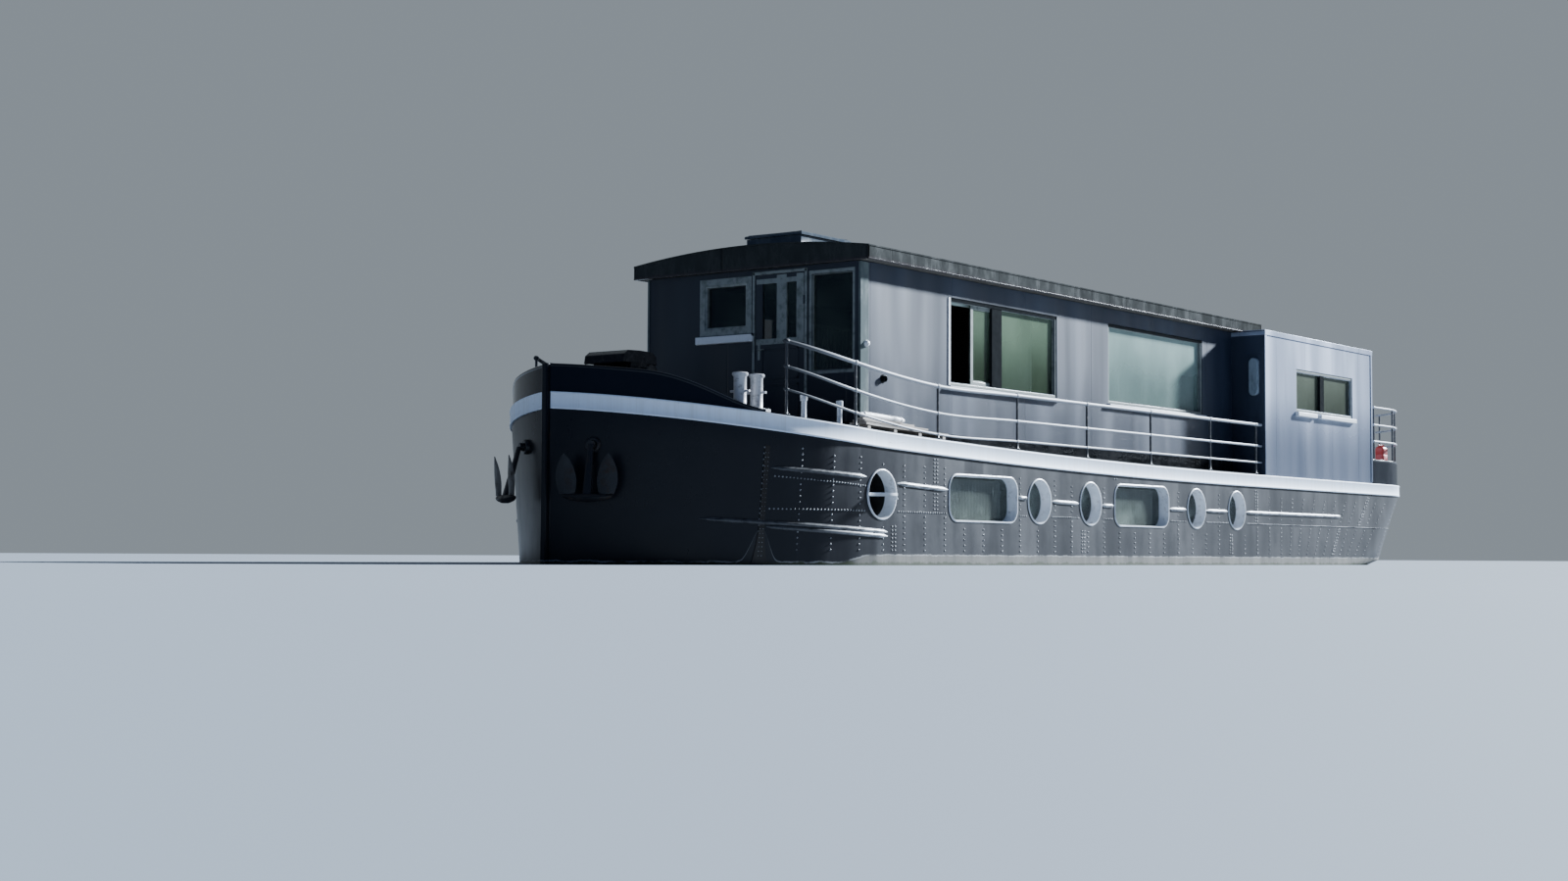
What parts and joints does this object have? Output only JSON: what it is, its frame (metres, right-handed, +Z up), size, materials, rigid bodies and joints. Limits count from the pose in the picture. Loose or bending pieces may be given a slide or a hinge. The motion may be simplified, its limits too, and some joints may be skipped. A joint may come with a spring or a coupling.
{
  "type": "houseboat converted from a river barge",
  "caption": "Riveted steel river barge with a long cabin, a full-width aft cabin, railed side decks, doors, hatches, a propeller and a rudder.",
  "frame": {"origin": "middle of the box round the whole boat, at the height of its flat bottom", "axes": "+X forward to the bow, +Y to port, +Z up; the waterline is at z = 0.9"},
  "size_m": [23.8562, 5.12, 5.591],
  "materials": {
    "hull_paint": "worn gloss black over riveted steel plate",
    "white_paint": "satin white, chalked, with rust at its edges",
    "deck_paint": "matt anti-slip grey",
    "wall_paint": "satin blue-grey",
    "silver_panel": "satin silver sheet",
    "roof_coating": "matt brownish grey coating",
    "glass": "clear, slightly green",
    "rail_paint": "light grey gloss",
    "iron": "painted black, rusty at the edges",
    "wood": "oiled planks",
    "red_plastic": "faded red",
    "bronze": "dull bronze"
  },
  "bodies": {
    "boat": {"aft_cabin_floor": "wood", "aft_cabin_front_wall": "wall_paint", "aft_cabin_rear_wall": "silver_panel", "aft_cabin_roof": "silver_panel", "aft_deck": "deck_paint", "aft_hatch_coaming": "hull_paint", "boarding_step": "wood", "bow_bulwark": "hull_paint", "cabin_coaming": "hull_paint", "cabin_front_wall": "wall_paint", "cabin_partition": "wood", "engine": "iron", "fore_deck": "deck_paint", "fore_hatch_coaming": "hull_paint", "front_dark_pane": "glass", "front_window_pane": "glass", "fuel_can": "red_plastic", "gangplank": "wood", "hull": "hull_paint", "main_roof": "roof_coating", "port_aft_bitts": "iron", "port_aft_cabin_pane": "glass", "port_aft_cabin_wall": "silver_panel", "port_anchor": "iron", "port_cabin_wall": "wall_paint", "port_fore_bitts": "rail_paint", "port_forward_pane": "glass", "port_handrail": "rail_paint", "port_midship_pane": "glass", "port_side_deck": "deck_paint", "saloon_floor": "wood", "sheer_belt": "white_paint", "skylight_coaming": "roof_coating", "starboard_aft_bitts": "iron", "starboard_aft_cabin_pane": "glass", "starboard_aft_cabin_wall": "silver_panel", "starboard_anchor": "iron", "starboard_cabin_wall": "wall_paint", "starboard_fore_bitts": "rail_paint", "starboard_forward_pane": "glass", "starboard_handrail": "rail_paint", "starboard_midship_pane": "glass", "starboard_side_deck": "deck_paint", "stem_bar": "hull_paint", "stern_bulwark": "hull_paint", "stern_rail": "rail_paint", "windlass": "iron"},
    "front_door": {"front_door": "wall_paint", "front_door_pane": "glass"},
    "rear_door": {"rear_door": "wall_paint", "rear_door_pane": "glass"},
    "fore_hatch_lid": {"fore_hatch_lid": "hull_paint"},
    "aft_hatch_lid": {"aft_hatch_lid": "hull_paint"},
    "skylight_lid": {"skylight_lid": "roof_coating"},
    "propeller": {"propeller": "bronze"},
    "rudder": {"rudder": "hull_paint"}
  },
  "joints": [
    {"name": "front_door_hinge", "type": "hinge", "parent": "boat", "child": "front_door", "pos_m": [7.59712, 0.937, 2.828], "axis": [0, 0, 1], "range_deg": [0, 100]},
    {"name": "rear_door_hinge", "type": "hinge", "parent": "boat", "child": "rear_door", "pos_m": [-8.76288, 0.397, 2.7], "axis": [0, 0, -1], "range_deg": [0, 100]},
    {"name": "fore_hatch_hinge", "type": "hinge", "parent": "boat", "child": "fore_hatch_lid", "pos_m": [8.59212, 0, 3.01469], "axis": [0, -1, 0], "range_deg": [0, 100]},
    {"name": "aft_hatch_hinge", "type": "hinge", "parent": "boat", "child": "aft_hatch_lid", "pos_m": [-10.70788, 0, 2.623], "axis": [0, -1, 0], "range_deg": [0, 100]},
    {"name": "skylight_hinge", "type": "hinge", "parent": "boat", "child": "skylight_lid", "pos_m": [5.84212, 0, 5.548], "axis": [0, -1, 0], "range_deg": [0, 60]},
    {"name": "propeller_spin", "type": "hinge", "parent": "boat", "child": "propeller", "pos_m": [-9.62788, 0, 0.42], "axis": [1, 0, 0], "continuous": true},
    {"name": "rudder_turn", "type": "hinge", "parent": "boat", "child": "rudder", "pos_m": [-10.24788, 0, 0.75], "axis": [0, 0, 1], "range_deg": [-40, 40]}
  ]
}
